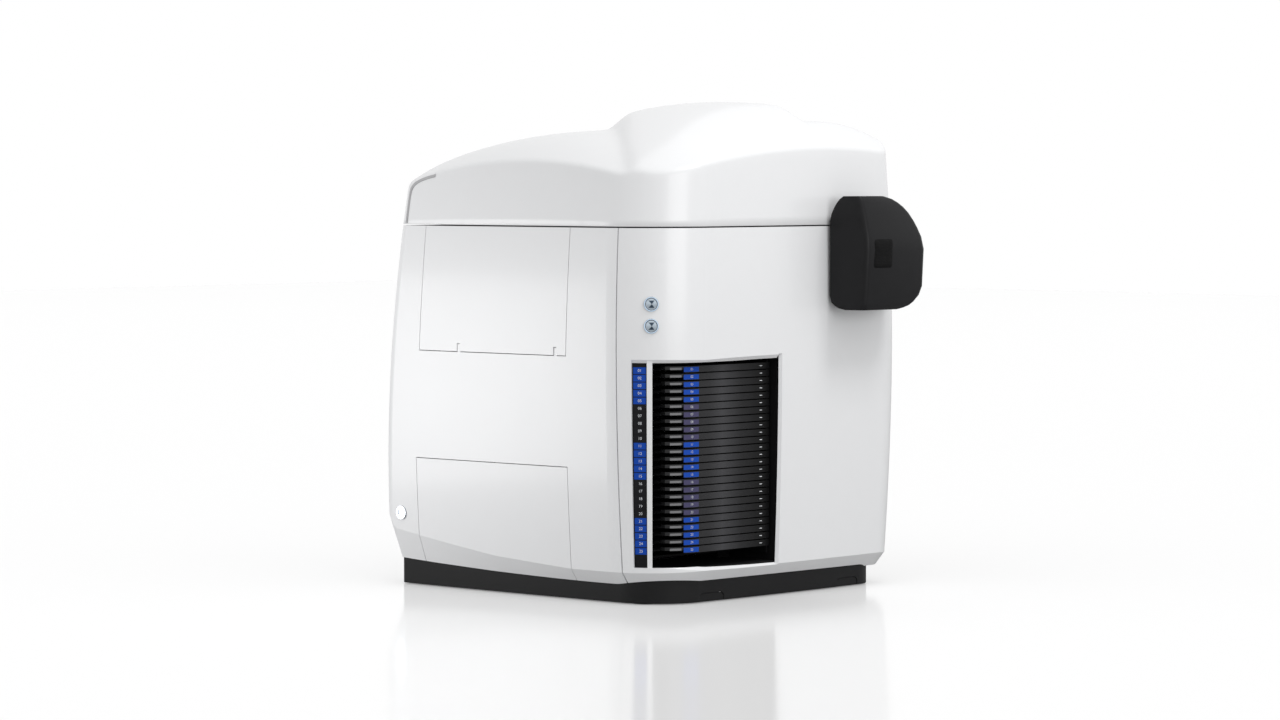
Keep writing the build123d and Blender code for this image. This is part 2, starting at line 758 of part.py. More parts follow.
with BuildPart() as lamp_housing:
    with BuildSketch(Plane(origin=(lamp_left, 0, 0), x_dir=(0, 1, 0), z_dir=(1, 0, 0))):
        with BuildLine():
            top_rear = (lamp_back - 34, lamp_high)
            slope = (lamp_back - 8, lamp_high - 40)
            back_high = (lamp_back, lamp_high - 80)
            back_low = (lamp_back, lamp_low + 20)
            Polyline(back_low, back_high, slope)
            ThreePointArc(slope, (lamp_back - 15, lamp_high - 12), top_rear)
            Line(top_rear, (lamp_front + 15, lamp_high))
            ThreePointArc((lamp_front + 15, lamp_high), (lamp_front, lamp_high - 62), (lamp_front + 8, lamp_low))
            Line((lamp_front + 8, lamp_low), (lamp_back - 28, lamp_low))
            ThreePointArc((lamp_back - 28, lamp_low), (lamp_back - 8, lamp_low + 6), back_low)
        make_face()
    extrude(amount=lamp_right - lamp_left)
    with BuildSketch(Plane(origin=(0, lamp_back + 30, 0), x_dir=(1, 0, 0), z_dir=(0, -1, 0))):
        with BuildLine():
            shoulder_in = (lamp_right - 66, lamp_high)
            shoulder_out = (lamp_right - 3, lamp_high - 72)
            side_low = (lamp_right, lamp_low + 30)
            toe = (lamp_right - 42, lamp_low)
            Line((lamp_left, lamp_low), (lamp_left, lamp_high))
            Line((lamp_left, lamp_high), shoulder_in)
            ThreePointArc(shoulder_in, (lamp_right - 20, lamp_high - 27), shoulder_out)
            Line(shoulder_out, side_low)
            ThreePointArc(side_low, (lamp_right - 11, lamp_low + 9), toe)
            Line(toe, (lamp_left, lamp_low))
        make_face()
    extrude(amount=lamp_stand + 60, mode=Mode.INTERSECT)
    lamp_grille_x = lamp_left + 38
    lamp_grille_z = 463.0
    grille_width = 38.0
    grille_height = 38.0
    with BuildSketch(Plane(origin=(0, lamp_front + 3, 0), x_dir=(1, 0, 0), z_dir=(0, -1, 0))):
        with Locations((lamp_grille_x, lamp_grille_z)):
            RectangleRounded(grille_width, grille_height, 3)
    extrude(amount=30, mode=Mode.SUBTRACT)
    with BuildSketch(Plane(origin=(0, lamp_front + 14, 0), x_dir=(1, 0, 0), z_dir=(0, -1, 0))):
        with Locations((lamp_grille_x, lamp_grille_z)):
            with GridLocations(7, 7, 5, 5):
                Rectangle(4, 4)
    extrude(amount=30, mode=Mode.SUBTRACT)
    with BuildSketch(Plane(origin=(lamp_x, lamp_back, collar_z), x_dir=(1, 0, 0), z_dir=(0, 1, 0))):
        Circle(collar_radius)
    extrude(amount=60)
    with BuildSketch(Plane(origin=(lamp_x, lamp_back + 60, collar_z), x_dir=(1, 0, 0), z_dir=(0, 1, 0))):
        Circle(collar_radius - 6)
    extrude(amount=-70, mode=Mode.SUBTRACT)

# ---- chassis ----
post = 20.0
post_xs = (-222.0, 205.0)
post_ys = (tray_rear + 22.0, rear - 62.0)
ring_high = seam_height - 5
ring_thick = 12.0
ring_width = 26.0
deck_top = 308.0
deck_thick = 8.0
deck_left = 45.0
axis_x = 90.0                         # optical axis of the microscope
axis_y = 45.0
lift_x = 9.0
lift_y = post_ys[0] + 4
beam_low = 374.0
rod_radius = 5.0
rod_spread = 18.0
screw_radius = 4.0
column_y = axis_y + 105.0
column_top = 560.0
column_deep = 30.0

with BuildPart() as chassis_frame:
    with BuildSketch(Plane.XY.offset(base_low + base_thick)):
        with Locations(*[(x, y) for x in post_xs for y in post_ys]):
            Rectangle(post, post)
    extrude(amount=ring_high - base_low - base_thick)
    ring = envelope(wall + fit_gap) - envelope(wall + ring_width)
    add(ring & box_between((-300, -300, ring_high - ring_thick), (300, 400, ring_high)))
    with BuildSketch(Plane.XY.offset(deck_top - deck_thick)):
        with Locations(((deck_left + post_xs[1]) / 2, (post_ys[0] + post_ys[1]) / 2)):
            Rectangle(post_xs[1] - deck_left, post_ys[1] - post_ys[0])
        with Locations((axis_x, axis_y)):
            Circle(20, mode=Mode.SUBTRACT)
    extrude(amount=deck_thick)
    with BuildSketch(Plane.XY.offset(beam_low)):
        with Locations(((post_xs[0] + lift_x + 30) / 2, lift_y)):
            Rectangle(lift_x + 30 - post_xs[0], 24)
        with Locations((lift_x, lift_y)):
            Circle(screw_radius + 0.05, mode=Mode.SUBTRACT)
    extrude(amount=12)
    with BuildSketch(Plane.XY.offset(deck_top - deck_thick)):
        with Locations((deck_left + 6, (post_ys[0] + post_ys[1]) / 2)):
            Rectangle(12, post_ys[1] - post_ys[0])
    extrude(amount=-(deck_top - deck_thick - base_low - base_thick))
    with BuildSketch(Plane.XY.offset(deck_top)):
        with Locations((axis_x, column_y)):
            Rectangle(56, column_deep)
    extrude(amount=column_top - deck_top)
    with BuildSketch(Plane.XY.offset(base_low + base_thick)):
        with Locations((lift_x - rod_spread, lift_y), (lift_x + rod_spread, lift_y)):
            Circle(rod_radius)
    extrude(amount=beam_low - base_low - base_thick)

# ---- tray lift: screw, carriage on two rods, gripper ----
lift_rest = 62.0
lift_height = 36.0
with BuildPart() as lift_screw:
    with BuildSketch(Plane.XY.offset(base_low + base_thick + 0.3)):
        with Locations((lift_x, lift_y)):
            Circle(screw_radius)
    extrude(amount=beam_low + 20 - base_low - base_thick)
    with BuildSketch(Plane.XY.offset(beam_low + 12.3)):
        with Locations((lift_x, lift_y)):
            Circle(14)
    extrude(amount=7)

carriage_left = tray_left - 2
carriage_rear = lift_y + 98.0
with BuildPart() as lift_carriage:
    with BuildSketch(Plane.XY.offset(lift_rest)):
        with Locations((lift_x, lift_y)):
            Rectangle(2 * rod_spread + 22, 26)
    extrude(amount=lift_height)
    with BuildSketch(Plane.XY.offset(lift_rest)):
        with Locations(((carriage_left + lift_x) / 2, (lift_y - 10 + carriage_rear) / 2)):
            Rectangle(lift_x - carriage_left, carriage_rear - lift_y + 10)
        with Locations((carriage_left + 6, lift_y)):
            Rectangle(32, 34, mode=Mode.SUBTRACT)
    extrude(amount=5)
    with BuildSketch(Plane.XY.offset(lift_rest)):
        with Locations((lift_x - rod_spread, lift_y), (lift_x + rod_spread, lift_y)):
            Circle(rod_radius + 0.05)
        with Locations((lift_x, lift_y)):
            Circle(screw_radius + 0.05)
    extrude(amount=lift_height, mode=Mode.SUBTRACT)
    with BuildSketch(Plane.XY.offset(lift_rest + 5)):
        with Locations((carriage_left + 100, (lift_y + 20 + carriage_rear) / 2)):
            Rectangle(14, carriage_rear - lift_y - 20)
    extrude(amount=3)

with BuildPart() as tray_gripper:
    gx = carriage_left + 100
    gy = carriage_rear - 20
    with BuildSketch(Plane.XY.offset(lift_rest + 5 + fit_gap)):
        with Locations((gx, gy)):
            Rectangle(34, 30)
            Rectangle(14.6, 30, mode=Mode.SUBTRACT)
    extrude(amount=3)
    with BuildSketch(Plane.XY.offset(lift_rest + 8 + fit_gap)):
        with Locations((gx, gy)):
            Rectangle(34, 30)
        with Locations((gx - 11, gy - 22), (gx + 11, gy - 22)):
            Rectangle(6, 20)
    extrude(amount=6)

# ---- microscope: cross stage, focus slide, objective turret and camera ----
stage_low = deck_top + fit_gap
stage_thick = 12.0
stage_top_thick = 8.0
column_face = column_y - column_deep / 2
with BuildPart() as stage_y:
    with BuildSketch(Plane.XY.offset(stage_low)):
        with Locations((axis_x, axis_y)):
            Rectangle(126, 110)
            Rectangle(60, 60, mode=Mode.SUBTRACT)
    extrude(amount=stage_thick)
    with BuildSketch(Plane.XY.offset(stage_low + stage_thick)):
        with Locations((axis_x, axis_y)):
            with GridLocations(1, 86, 1, 2):
                Rectangle(126, 10)
    extrude(amount=4)

with BuildPart() as stage_x:
    with BuildSketch(Plane.XY.offset(stage_low + stage_thick + 4 + fit_gap)):
        with Locations((axis_x, axis_y)):
            Rectangle(150, 100)
            Rectangle(64, 26, mode=Mode.SUBTRACT)
    extrude(amount=stage_top_thick)
    with BuildSketch(Plane.XY.offset(stage_low + stage_thick + fit_gap)):
        with Locations((axis_x, axis_y)):
            with GridLocations(1, 60, 1, 2):
                Rectangle(150, 15)
    extrude(amount=4)

turret_tilt = 15.0
turret_radius = 34.0
turret_thick = 14.0
objective_circle = 22.0
objective_radius = 9.0
objective_length = 45.0
shaft_radius = 10.0
tilt = radians(turret_tilt)
turret_y = axis_y + objective_circle * cos(tilt) - turret_thick / 2 * sin(tilt)
turret_z = 396.0
turret_down = Vector(0, sin(tilt), -cos(tilt))
turret_plane = Plane(origin=(axis_x, turret_y, turret_z), x_dir=(1, 0, 0), z_dir=turret_down)

arm_low = turret_z + 21
arm_high = arm_low + 26
slide_back = column_face - fit_gap
with BuildPart() as focus_slide:
    add(box_between((axis_x - 25, slide_back - 16, arm_low - 30), (axis_x + 25, slide_back, arm_high + 30)))
    add(box_between((axis_x - 25, turret_y - 30, arm_low), (axis_x + 25, slide_back, arm_high)))
    with BuildSketch(turret_plane):
        Circle(shaft_radius + 0.05)
    extrude(amount=-80, mode=Mode.SUBTRACT)

with BuildPart() as objective_turret:
    with BuildSketch(turret_plane.offset(-turret_thick / 2)):
        Circle(turret_radius)
    extrude(amount=turret_thick)
    with BuildSketch(turret_plane.offset(-turret_thick / 2)):
        Circle(shaft_radius)
    extrude(amount=-30)
    across = Vector(1, 0, 0)
    forward = Vector(0, -cos(tilt), -sin(tilt))
    for k in range(6):
        radial = across * sin(radians(60 * k)) + forward * cos(radians(60 * k))
        mount = turret_plane.origin + radial * objective_circle + turret_down * (turret_thick / 2 + 0.1)
        outwards = turret_down * cos(tilt) + radial * sin(tilt)
        with BuildSketch(Plane(origin=mount, z_dir=outwards)):
            Circle(objective_radius)
        extrude(amount=objective_length - 12)
        with BuildSketch(Plane(origin=mount + outwards * (objective_length - 12), z_dir=outwards)):
            Circle(objective_radius)
        extrude(amount=12, taper=24)

with BuildPart() as camera:
    add(box_between((axis_x - 32, axis_y - 32, 500), (axis_x + 32, slide_back, 556)))
    with BuildSketch(Plane.XY.offset(500)):
        with Locations((axis_x, axis_y)):
            Circle(14)
    extrude(amount=arm_high + 6 - 500)

# ---- electrics: power supply, fan, inlet and motors ----
with BuildPart() as power_supply:
    add(box_between((70, 110, base_low + base_thick + fit_gap), (190, 222, 88)))
    with BuildSketch(Plane.XY.offset(88)):
        with Locations((130, 166)):
            with GridLocations(14, 1, 7, 1):
                Rectangle(6, 80)
    extrude(amount=-4, mode=Mode.SUBTRACT)

fan_back = 290.4
fan_size = 92.0
fan_depth = 25.0
with BuildPart() as fan_frame:
    with BuildSketch(Plane(origin=(fan_x, fan_back, fan_z), x_dir=(1, 0, 0), z_dir=(0, -1, 0))):
        Rectangle(fan_size, fan_size)
        Circle(fan_radius, mode=Mode.SUBTRACT)
    extrude(amount=fan_depth)
    with BuildSketch(Plane(origin=(fan_x, fan_back - fan_depth, fan_z), x_dir=(1, 0, 0), z_dir=(0, 1, 0))):
        Rectangle(fan_size, 6)
        Rectangle(6, fan_size)
        Circle(16)
    extrude(amount=3)
    with BuildSketch(Plane(origin=(fan_x, fan_back - fan_depth, fan_z), x_dir=(1, 0, 0), z_dir=(0, 1, 0))):
        Circle(2)
    extrude(amount=fan_depth - 4)

with BuildPart() as fan_rotor:
    rotor_plane = Plane(origin=(fan_x, fan_back - fan_depth + 3.3, fan_z), x_dir=(1, 0, 0), z_dir=(0, 1, 0))
    with BuildSketch(rotor_plane):
        Circle(17)
        Circle(2.05, mode=Mode.SUBTRACT)
    extrude(amount=18)
    for k in range(7):
        radial = Vector(cos(radians(360 / 7 * k)), 0, sin(radians(360 / 7 * k)))
        along = Vector(-radial.Z, 0, radial.X) * cos(radians(35)) + Vector(0, 1, 0) * sin(radians(35))
        with BuildSketch(Plane(origin=rotor_plane.origin + Vector(0, 9, 0) + radial * 15, x_dir=along, z_dir=radial)):
            Rectangle(22, 1.6)
        extrude(amount=fan_radius - 19)

with BuildPart() as rear_inlet:
    inlet_plane = Plane(origin=(inlet_x, rear - 0.3, inlet_z), x_dir=(-1, 0, 0), z_dir=(0, 1, 0))
    with BuildSketch(inlet_plane):
        Rectangle(49.4, 29.4)
    extrude(amount=-24)
    with BuildSketch(Plane(origin=(inlet_x, rear - wall - 0.8, inlet_z), x_dir=(-1, 0, 0), z_dir=(0, 1, 0))):
        Rectangle(58, 38)
    extrude(amount=-3)
    with BuildSketch(inlet_plane):
        Rectangle(26, 17)
        with Locations((-7, -2), (0, 3), (7, -2)):
            Rectangle(2, 5, mode=Mode.SUBTRACT)
    extrude(amount=-16, mode=Mode.SUBTRACT)

motor_spots = [(lift_x - 52, lift_y, beam_low + 12.3), (182.0, 150.0, deck_top + 0.3),
               (axis_x, column_y, column_top + 0.3)]
with BuildPart() as drive_motors:
    for spot in motor_spots:
        with BuildSketch(Plane(origin=spot)):
            Rectangle(34, 34)
        extrude(amount=36)
        with BuildSketch(Plane(origin=(spot[0], spot[1], spot[2] + 36))):
            Circle(3)
        extrude(amount=8)

# ---- export: one file per sub-part ----
os.makedirs("parts", exist_ok=True)
base_plate.part.label = "base_plate"
export_step(base_plate.part, "parts/base_plate.step")
plinth.part.label = "plinth"
export_step(plinth.part, "parts/plinth.step")
rubber_feet.part.label = "rubber_feet"
export_step(rubber_feet.part, "parts/rubber_feet.step")
carry_caps.part.label = "carry_caps"
export_step(carry_caps.part, "parts/carry_caps.step")
left_panel.part.label = "left_panel"
export_step(left_panel.part, "parts/left_panel.step")
front_cover.part.label = "front_cover"
export_step(front_cover.part, "parts/front_cover.step")
right_panel.part.label = "right_panel"
export_step(right_panel.part, "parts/right_panel.step")
rear_panel.part.label = "rear_panel"
export_step(rear_panel.part, "parts/rear_panel.step")
hood.part.label = "hood"
export_step(hood.part, "parts/hood.step")
hood_trim.part.label = "hood_trim"
export_step(hood_trim.part, "parts/hood_trim.step")
hinge_pins.part.label = "hinge_pins"
export_step(hinge_pins.part, "parts/hinge_pins.step")
upper_door.part.label = "upper_door"
export_step(upper_door.part, "parts/upper_door.step")
lower_cover.part.label = "lower_cover"
export_step(lower_cover.part, "parts/lower_cover.step")
number_strip.part.label = "number_strip"
export_step(number_strip.part, "parts/number_strip.step")
magazine_liner.part.label = "magazine_liner"
export_step(magazine_liner.part, "parts/magazine_liner.step")
start_button.part.label = "start_button"
export_step(start_button.part, "parts/start_button.step")
open_button.part.label = "open_button"
export_step(open_button.part, "parts/open_button.step")
button_bezels.part.label = "button_bezels"
export_step(button_bezels.part, "parts/button_bezels.step")
power_switch.part.label = "power_switch"
export_step(power_switch.part, "parts/power_switch.step")
lamp_housing.part.label = "lamp_housing"
export_step(lamp_housing.part, "parts/lamp_housing.step")
chassis_frame.part.label = "chassis_frame"
export_step(chassis_frame.part, "parts/chassis_frame.step")
magazine_rack.part.label = "magazine_rack"
export_step(magazine_rack.part, "parts/magazine_rack.step")
lift_screw.part.label = "lift_screw"
export_step(lift_screw.part, "parts/lift_screw.step")
lift_carriage.part.label = "lift_carriage"
export_step(lift_carriage.part, "parts/lift_carriage.step")
tray_gripper.part.label = "tray_gripper"
export_step(tray_gripper.part, "parts/tray_gripper.step")
stage_y.part.label = "stage_y"
export_step(stage_y.part, "parts/stage_y.step")
stage_x.part.label = "stage_x"
export_step(stage_x.part, "parts/stage_x.step")
focus_slide.part.label = "focus_slide"
export_step(focus_slide.part, "parts/focus_slide.step")
objective_turret.part.label = "objective_turret"
export_step(objective_turret.part, "parts/objective_turret.step")
camera.part.label = "camera"
export_step(camera.part, "parts/camera.step")
power_supply.part.label = "power_supply"
export_step(power_supply.part, "parts/power_supply.step")
fan_frame.part.label = "fan_frame"
export_step(fan_frame.part, "parts/fan_frame.step")
fan_rotor.part.label = "fan_rotor"
export_step(fan_rotor.part, "parts/fan_rotor.step")
rear_inlet.part.label = "rear_inlet"
export_step(rear_inlet.part, "parts/rear_inlet.step")
drive_motors.part.label = "drive_motors"
export_step(drive_motors.part, "parts/drive_motors.step")

one_tray = slide_tray()
for k, z in enumerate(tray_levels):
    with BuildPart(Location((0, 0, z))) as tray:
        add(one_tray)
    tray.part.label = f"tray_{k + 1:02d}"
    export_step(tray.part, f"parts/tray_{k + 1:02d}.step")
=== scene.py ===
# Bench-top digital slide scanner: the look of each piece, in the order in which the unit is put together.
# Metres, in the part's own frame: Z up, the front towards -Y.
import json
import math

import bpy
import numpy as np
from mathutils import Matrix, Vector
from mathutils.bvhtree import BVHTree

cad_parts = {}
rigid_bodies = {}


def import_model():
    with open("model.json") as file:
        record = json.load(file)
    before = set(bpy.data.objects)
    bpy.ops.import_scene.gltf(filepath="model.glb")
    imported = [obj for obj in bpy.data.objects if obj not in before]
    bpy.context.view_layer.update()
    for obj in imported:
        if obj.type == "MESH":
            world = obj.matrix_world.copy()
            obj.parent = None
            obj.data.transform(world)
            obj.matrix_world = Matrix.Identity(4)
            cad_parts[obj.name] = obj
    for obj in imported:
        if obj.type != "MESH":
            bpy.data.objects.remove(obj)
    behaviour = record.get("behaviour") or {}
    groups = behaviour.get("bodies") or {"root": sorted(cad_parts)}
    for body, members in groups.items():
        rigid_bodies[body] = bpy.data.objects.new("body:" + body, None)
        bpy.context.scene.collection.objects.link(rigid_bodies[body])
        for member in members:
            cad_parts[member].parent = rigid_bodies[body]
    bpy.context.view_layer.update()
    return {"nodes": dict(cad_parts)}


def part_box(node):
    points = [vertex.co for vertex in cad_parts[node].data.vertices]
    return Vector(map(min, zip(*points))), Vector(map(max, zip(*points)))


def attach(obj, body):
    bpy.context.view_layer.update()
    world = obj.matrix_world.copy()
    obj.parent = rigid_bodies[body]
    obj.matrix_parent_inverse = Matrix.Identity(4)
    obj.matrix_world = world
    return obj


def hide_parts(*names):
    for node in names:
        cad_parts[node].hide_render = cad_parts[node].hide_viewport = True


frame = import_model()
nodes = frame["nodes"]


# ---- Plinth, carry-point caps, base plate and feet ----
# The plinth is moulded in black with a fine texture, and two arched caps close the places where carrying bars
# go in. The base plate inside it is painted sheet steel and stands on rubber feet.
def finish(name, color, rough, metal=0.0, spread=0.06, bump=0.05, grain=900.0, coat=0.0, stretch=(1, 1, 1),
           specular=0.5):
    """Plastic, paint or metal. A broad noise mixes the colour between (1 - spread) and (1 + spread) of itself and
    moves the roughness by 15 percent; a fine noise, grain waves to the metre, makes the bump."""
    broad_waves = 40.0
    rough_range = 0.15
    bump_depth = 0.0002
    look = bpy.data.materials.new(name)
    look.use_nodes = True
    tree = look.node_tree
    shader = tree.nodes["Principled BSDF"]
    where = tree.nodes.new("ShaderNodeTexCoord")
    turn = tree.nodes.new("ShaderNodeMapping")
    turn.inputs["Scale"].default_value = stretch
    tree.links.new(where.outputs["Object"], turn.inputs["Vector"])
    broad = tree.nodes.new("ShaderNodeTexNoise")
    broad.inputs["Scale"].default_value = broad_waves
    broad.inputs["Detail"].default_value = 3
    fine = tree.nodes.new("ShaderNodeTexNoise")
    fine.inputs["Scale"].default_value = grain
    fine.inputs["Detail"].default_value = 2
    for noise in (broad, fine):
        tree.links.new(turn.outputs["Vector"], noise.inputs["Vector"])
    tint = tree.nodes.new("ShaderNodeMixRGB")
    tint.inputs[1].default_value = (*[c * (1 - spread) for c in color], 1)
    tint.inputs[2].default_value = (*[min(c * (1 + spread), 1) for c in color], 1)
    tree.links.new(broad.outputs["Fac"], tint.inputs[0])
    tree.links.new(tint.outputs[0], shader.inputs["Base Color"])
    gloss = tree.nodes.new("ShaderNodeMapRange")
    gloss.inputs["To Min"].default_value = rough * (1 - rough_range)
    gloss.inputs["To Max"].default_value = min(rough * (1 + rough_range), 1)
    tree.links.new(broad.outputs["Fac"], gloss.inputs["Value"])
    tree.links.new(gloss.outputs["Result"], shader.inputs["Roughness"])
    lift = tree.nodes.new("ShaderNodeBump")
    lift.inputs["Strength"].default_value = bump
    lift.inputs["Distance"].default_value = bump_depth
    tree.links.new(fine.outputs["Fac"], lift.inputs["Height"])
    tree.links.new(lift.outputs["Normal"], shader.inputs["Normal"])
    shader.inputs["Metallic"].default_value = metal
    shader.inputs["Specular IOR Level"].default_value = specular
    shader.inputs["Coat Weight"].default_value = coat
    shader.inputs["Coat Roughness"].default_value = 0.12
    return look


def give(look, *names):
    """Puts one finish on CAD nodes."""
    for name in names:
        nodes[name].data.materials.clear()
        nodes[name].data.materials.append(look)


plinth_black = finish("plinth_black", (0.013, 0.013, 0.0135), 0.5, spread=0.15, bump=0.25, specular=0.12)
give(plinth_black, "plinth", "carry_caps")
rubber = finish("rubber_foot", (0.02, 0.02, 0.02), 0.8, spread=0.2, bump=0.4)
give(rubber, "rubber_feet")
frame_grey = finish("frame_grey", (0.30, 0.31, 0.33), 0.55, spread=0.08, bump=0.5, grain=600)
give(frame_grey, "base_plate")

# ---- Chassis, power supply, inlet, motors and fan ----
# A frame of folded steel in grey paint carries everything inside the housing. The motors, the fan and the
# mains inlet are black mouldings and castings screwed to it.
give(frame_grey, "chassis_frame", "power_supply")
motor_black = finish("motor_black", (0.03, 0.03, 0.034), 0.45, metal=0.3, spread=0.15, bump=0.3)
give(motor_black, "fan_frame", "fan_rotor", "rear_inlet", "drive_motors")

# ---- Tray lift, gripper, stage and optics ----
# The moving carriages are milled from aluminium, with the tool's marks along one axis. The lift screw and the
# turret are ground steel, and the camera has a black housing.
aluminium = finish("machined_aluminium", (0.72, 0.73, 0.75), 0.3, metal=1.0, spread=0.05, bump=0.12,
                   stretch=(1, 12, 1))
give(aluminium, "lift_carriage", "tray_gripper", "stage_y", "stage_x", "focus_slide")
steel = finish("ground_steel", (0.55, 0.56, 0.58), 0.25, metal=1.0, spread=0.06, bump=0.1, stretch=(1, 1, 10))
give(steel, "lift_screw", "objective_turret")
give(motor_black, "camera")

# ---- Magazine liner, rack and number strip ----
# Black mouldings behind the window. The strip left of the mullion has blocks of five printed numbers, blue
# and black in turn, one number level with each tray.
magazine_black = finish("magazine_black", (0.004, 0.004, 0.0045), 0.6, spread=0.2, bump=0.2, specular=0.2)
give(magazine_black, "magazine_liner", "magazine_rack", "number_strip")
label_blue = finish("label_blue", (0.004, 0.06, 0.40), 0.5, spread=0.08, specular=0.2)
label_black = finish("label_black", (0.006, 0.006, 0.008), 0.5, spread=0.1, specular=0.2)
print_white = finish("print_white", (0.85, 0.87, 0.9), 0.5, spread=0.02, bump=0.02)

tray_count = 25
tray_pitch = 0.010
tray_top = 0.310                              # height of the first tray
block_size = 5                                # numbers in a block of one colour
corner_axis = np.array((-0.163, -0.1285))     # axis of the housing's rounded front-left corner
print_lift = 0.0001                           # of a printed label over the surface under it


def grid_piece(name, grid, look, body, ends="both", wrap=True, smooth=True):
    """Mesh over a grid of points. A row is a closed loop that turns to the left round the way in which the rows
    go on, or an open line when wrap is off. A fan to its middle closes the row at both ends, or the last one
    only; join ties the last row to the first, and open leaves them."""
    rows, columns = grid.shape[:2]
    row, column = np.meshgrid(np.arange(rows if ends == "join" else rows - 1),
                              np.arange(columns if wrap else columns - 1), indexing="ij")
    after, beside = (row + 1) % rows, (column + 1) % columns
    quads = np.stack([row * columns + column, row * columns + beside, after * columns + beside,
                      after * columns + column], axis=-1)
    points = grid.reshape(-1, 3)
    faces = quads.reshape(-1, 4).tolist()
    for end, turn in {"both": ((0, -1), (rows - 1, 1)), "last": ((rows - 1, 1),)}.get(ends, ()):
        around = end * columns + np.arange(columns)
        fan = [around, np.roll(around, -1), np.full(columns, len(points))][::turn]
        faces += np.stack(fan, axis=1).tolist()
        points = np.concatenate([points, grid[end].mean(axis=0, keepdims=True)])
    mesh = bpy.data.meshes.new(name)
    mesh.from_pydata(points.tolist(), [], faces)
    mesh.polygons.foreach_set("use_smooth", [smooth] * len(mesh.polygons))
    mesh.materials.append(look)
    piece = bpy.data.objects.new(name, mesh)
    bpy.context.scene.collection.objects.link(piece)
    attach(piece, body)
    return piece


def skin_of(piece):
    """Surface of a piece, for rays."""
    return BVHTree.FromPolygons([v.co for v in piece.data.vertices], [p.vertices for p in piece.data.polygons])


def away(degrees):
    """Direction away from the corner's axis: 0 degrees is towards the left wall and 90 towards the front."""
    turn = math.radians(degrees)
    return Vector((-math.cos(turn), -math.sin(turn), 0))


def skin_at(skin, degrees, z):
    """Point and outward normal where a ray towards the corner's axis meets a surface."""
    start = Vector((*corner_axis, z)) + away(degrees) * 0.2
    place, normal = skin.ray_cast(start, -away(degrees))[:2]
    return place, normal if normal.dot(away(degrees)) > 0 else -normal


def numeral(name, number, place, normal, size, body):
    """Flat printed number of two digits, upright and facing along the normal."""
    text = bpy.data.curves.new(name, "FONT")
    text.body = f"{number:02d}"
    text.size = size
    text.align_x = "CENTER"
    text.align_y = "CENTER"
    holder = bpy.data.objects.new(name + "_text", text)
    bpy.context.scene.collection.objects.link(holder)
    mesh = bpy.data.meshes.new_from_object(holder.evaluated_get(bpy.context.evaluated_depsgraph_get()))
    bpy.data.objects.remove(holder)
    bpy.data.curves.remove(text)
    up = Vector((0, 0, 1))
    flat = Vector((normal.x, normal.y, 0)).normalized()
    turn = Matrix((up.cross(flat), up, flat)).transposed().to_4x4()
    mesh.transform(Matrix.Translation(place) @ turn)
    mesh.materials.clear()
    mesh.materials.append(print_white)
    piece = bpy.data.objects.new(name, mesh)
    bpy.context.scene.collection.objects.link(piece)
    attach(piece, body)


strip_skin = skin_of(nodes["number_strip"])
strip_degrees = np.linspace(25.6, 36.2, 6)
strip_middle = 31.0
block_half = 0.0044
number_lift = 0.0003
for tray in range(tray_count):
    z = tray_top + 0.002 - tray_pitch * tray
    hits = [[skin_at(strip_skin, a, edge) for a in strip_degrees] for edge in (z - block_half, z + block_half)]
    patch = np.array([[place + normal * print_lift for place, normal in line] for line in hits])
    look = label_black if tray // block_size % 2 else label_blue
    grid_piece(f"strip_block_{tray + 1:02d}", patch, look, "housing", ends="open", wrap=False)
    place, normal = skin_at(strip_skin, strip_middle, z)
    numeral(f"strip_number_{tray + 1:02d}", tray + 1, place + normal * number_lift, normal, 0.0052, "housing")

# ---- Slide trays ----
# Each tray is moulded in black, with a painted soft highlight across its front that fades towards the right end. It
# carries a printed label with its number, a grey grip left of that, and a short white mark near its right end.
tray_black = finish("tray_black", (0.030, 0.030, 0.034), 0.42, spread=0.15, bump=0.15, specular=0.2)
tray_tree = tray_black.node_tree
tray_where = tray_tree.nodes.new("ShaderNodeTexCoord")
tray_split = tray_tree.nodes.new("ShaderNodeSeparateXYZ")
tray_tree.links.new(tray_where.outputs["Generated"], tray_split.inputs[0])
# Painted highlight: the base colour is lightest at the middle of the front and darkest at its right end.
painted_highlight_ramp = tray_tree.nodes.new("ShaderNodeValToRGB")
for place, value in ((0.0, 0.010), (0.36, 0.026), (0.5, 0.050), (0.7, 0.016), (0.85, 0.006), (1.0, 0.004)):
    if place in (0.0, 1.0):
        stop = painted_highlight_ramp.color_ramp.elements[0 if place == 0.0 else -1]
    else:
        stop = painted_highlight_ramp.color_ramp.elements.new(place)
    stop.color = (value, value, value * 1.08, 1)
tray_tree.links.new(tray_split.outputs["X"], painted_highlight_ramp.inputs[0])
tray_tree.links.new(painted_highlight_ramp.outputs[0], tray_tree.nodes["Principled BSDF"].inputs["Base Color"])
label_violet = finish("label_violet", (0.06, 0.055, 0.12), 0.5, spread=0.1, specular=0.2)
grip_grey = finish("grip_grey", (0.16, 0.16, 0.165), 0.45, spread=0.1, bump=0.1)



def corner_plate(name, back, face, degrees, low, high, look, body):
    """Thin plate round the corner's axis, between the radii of its back and its face: at each angle a loop of
    its four edges."""
    turn = np.radians(degrees)
    loops = [np.stack(np.broadcast_arrays(corner_axis[0] - reach * np.cos(turn),
                                          corner_axis[1] - reach * np.sin(turn), z), axis=-1)
             for reach, z in ((back, low), (back, high), (face, high), (face, low))]
    grid_piece(name, np.stack(loops, axis=1), look, body, smooth=False)


